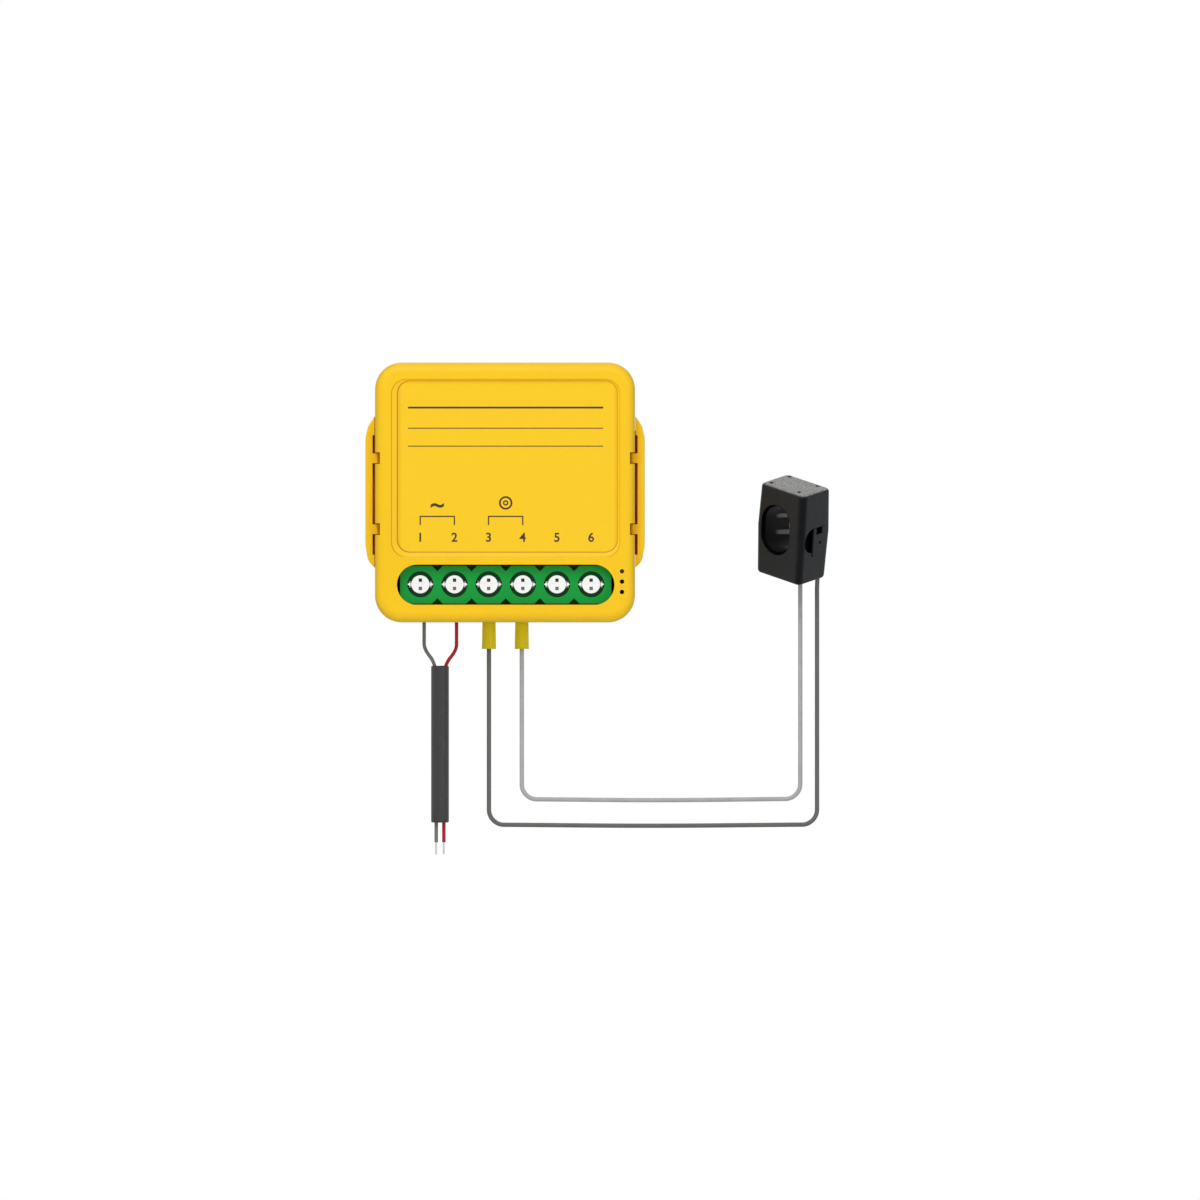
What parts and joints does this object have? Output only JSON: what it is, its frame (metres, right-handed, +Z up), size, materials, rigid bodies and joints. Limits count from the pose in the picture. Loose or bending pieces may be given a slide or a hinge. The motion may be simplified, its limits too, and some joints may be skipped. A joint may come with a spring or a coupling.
{
  "type": "smart energy monitor",
  "caption": "Square wall module with a screw terminal strip, a short mains tail and a small split-core current clamp on leads, for measuring a circuit's use.",
  "frame": {"origin": "centre of the module's flat back face, where it is stuck to a wall or backplate", "axes": "+Z up the label, +X to the right seen from the front, +Y from the label into the wall"},
  "size_m": [0.1035, 0.0233, 0.1099],
  "materials": {
    "casing": "fine-grained moulded yellow",
    "terminal_green": "moulded green",
    "screw_nickel": "bright nickel plate",
    "cage_nickel": "bright nickel plate",
    "bar_brass": "tinned brass",
    "board": "green solder mask",
    "chip_black": "moulded black",
    "can_sleeve": "shrunk sleeve",
    "shield_tin": "tinned sheet",
    "ferrite": "ground ferrite",
    "resistor": "lacquered",
    "varistor_blue": "dipped",
    "switch_plastic": "moulded black",
    "clear": "clear moulded",
    "core_grey": "cable insulation",
    "core_red": "cable insulation",
    "strand_tinned": "tinned copper strands",
    "sheath": "black cable jacket",
    "ferrule_tin": "tinned copper tube",
    "ferrule_olive": "moulded olive yellow",
    "lead_dark": "cable insulation",
    "lead_light": "cable insulation",
    "clamp_black": "fine-grained moulded black",
    "spring_steel": "plain",
    "bobbin": "moulded natural",
    "copper_wire": "enamelled copper"
  },
  "bodies": {
    "monitor": {"front_cover": "casing", "rear_shell": "casing", "terminal_housing": "terminal_green", "current_bars": "bar_brass", "main_board": "board", "wifi_board": "board", "metering_chip": "chip_black", "power_chip": "chip_black", "bridge_rectifier": "chip_black", "voltage_regulator": "chip_black", "freewheel_diode": "chip_black", "bulk_capacitors": "can_sleeve", "filter_capacitor": "can_sleeve", "wifi_shield": "shield_tin", "clock_crystal": "shield_tin", "lower_core": "ferrite", "power_inductor": "ferrite", "fuse_resistor": "resistor", "burden_resistors": "resistor", "varistor": "varistor_blue", "pairing_switch": "switch_plastic", "status_led": "clear", "light_pipe": "clear", "mains_core_grey": "core_grey", "mains_core_red": "core_red", "strand_ends_grey": "strand_tinned", "strand_ends_red": "strand_tinned", "cable_sheath": "sheath", "ferrule_pin_dark": "ferrule_tin", "ferrule_pin_light": "ferrule_tin", "ferrule_sleeve_dark": "ferrule_olive", "ferrule_sleeve_light": "ferrule_olive", "clamp_lead_dark": "lead_dark", "clamp_lead_light": "lead_light", "clamp_base": "clamp_black", "clamp_cap": "clamp_black", "hinge_pin": "spring_steel", "coil_bobbin": "bobbin", "coil_winding": "copper_wire"},
    "jaw": {"clamp_jaw": "clamp_black", "upper_core": "ferrite", "core_spring": "spring_steel"},
    "latch": {"latch_tongue": "clamp_black"},
    "pairing_button": {"switch_plunger": "switch_plastic"},
    "screw_1": {"terminal_screw_1": "screw_nickel"},
    "cage_1": {"terminal_cage_1": "cage_nickel"},
    "screw_2": {"terminal_screw_2": "screw_nickel"},
    "cage_2": {"terminal_cage_2": "cage_nickel"},
    "screw_3": {"terminal_screw_3": "screw_nickel"},
    "cage_3": {"terminal_cage_3": "cage_nickel"},
    "screw_4": {"terminal_screw_4": "screw_nickel"},
    "cage_4": {"terminal_cage_4": "cage_nickel"},
    "screw_5": {"terminal_screw_5": "screw_nickel"},
    "cage_5": {"terminal_cage_5": "cage_nickel"},
    "screw_6": {"terminal_screw_6": "screw_nickel"},
    "cage_6": {"terminal_cage_6": "cage_nickel"}
  },
  "joints": [
    {"name": "terminal_screw_1_turn", "type": "hinge", "parent": "monitor", "child": "screw_1", "pos_m": [-0.01888, -0.0178, -0.0205], "axis": [0, -1, 0], "range_deg": [0, 1368.2]},
    {"name": "terminal_cage_1_lift", "type": "slide", "parent": "monitor", "child": "cage_1", "axis": [0, 1, 0], "range_m": [0, 0.0019]},
    {"name": "terminal_screw_2_turn", "type": "hinge", "parent": "monitor", "child": "screw_2", "pos_m": [-0.01126, -0.0178, -0.0205], "axis": [0, -1, 0], "range_deg": [0, 1368.2]},
    {"name": "terminal_cage_2_lift", "type": "slide", "parent": "monitor", "child": "cage_2", "axis": [0, 1, 0], "range_m": [0, 0.0019]},
    {"name": "terminal_screw_3_turn", "type": "hinge", "parent": "monitor", "child": "screw_3", "pos_m": [-0.00364, -0.0178, -0.0205], "axis": [0, -1, 0], "range_deg": [0, 1008.2]},
    {"name": "terminal_cage_3_lift", "type": "slide", "parent": "monitor", "child": "cage_3", "axis": [0, 1, 0], "range_m": [0, 0.0014]},
    {"name": "terminal_screw_4_turn", "type": "hinge", "parent": "monitor", "child": "screw_4", "pos_m": [0.00398, -0.0178, -0.0205], "axis": [0, -1, 0], "range_deg": [0, 1008.2]},
    {"name": "terminal_cage_4_lift", "type": "slide", "parent": "monitor", "child": "cage_4", "axis": [0, 1, 0], "range_m": [0, 0.0014]},
    {"name": "terminal_screw_5_turn", "type": "hinge", "parent": "monitor", "child": "screw_5", "pos_m": [0.0116, -0.0178, -0.0205], "axis": [0, -1, 0], "range_deg": [0, 1512.2]},
    {"name": "terminal_cage_5_lift", "type": "slide", "parent": "monitor", "child": "cage_5", "axis": [0, 1, 0], "range_m": [0, 0.0021]},
    {"name": "terminal_screw_6_turn", "type": "hinge", "parent": "monitor", "child": "screw_6", "pos_m": [0.01922, -0.0178, -0.0205], "axis": [0, -1, 0], "range_deg": [0, 1512.2]},
    {"name": "terminal_cage_6_lift", "type": "slide", "parent": "monitor", "child": "cage_6", "axis": [0, 1, 0], "range_m": [0, 0.0021]},
    {"name": "jaw_hinge", "type": "hinge", "parent": "monitor", "child": "jaw", "pos_m": [0.05913, -0.00888, -0.00569], "axis": [-0.6679, -0.7092, -0.2258], "range_deg": [0, 90]},
    {"name": "latch_flex", "type": "hinge", "parent": "monitor", "child": "latch", "pos_m": [0.06904, -0.01564, -0.0138], "axis": [0.6679, 0.7092, 0.2258], "range_deg": [0, 12], "stiffness_Nm_per_rad": 0.002},
    {"name": "pairing_button_press", "type": "slide", "parent": "monitor", "child": "pairing_button", "axis": [0, 1, 0], "range_m": [0, 0.0003], "stiffness_N_per_m": 400}
  ],
  "couplings": [
    {"joint": "terminal_screw_1_turn", "follows": "terminal_cage_1_lift", "rad_per_m": 12566},
    {"joint": "terminal_screw_2_turn", "follows": "terminal_cage_2_lift", "rad_per_m": 12566},
    {"joint": "terminal_screw_3_turn", "follows": "terminal_cage_3_lift", "rad_per_m": 12566},
    {"joint": "terminal_screw_4_turn", "follows": "terminal_cage_4_lift", "rad_per_m": 12566},
    {"joint": "terminal_screw_5_turn", "follows": "terminal_cage_5_lift", "rad_per_m": 12566},
    {"joint": "terminal_screw_6_turn", "follows": "terminal_cage_6_lift", "rad_per_m": 12566}
  ]
}
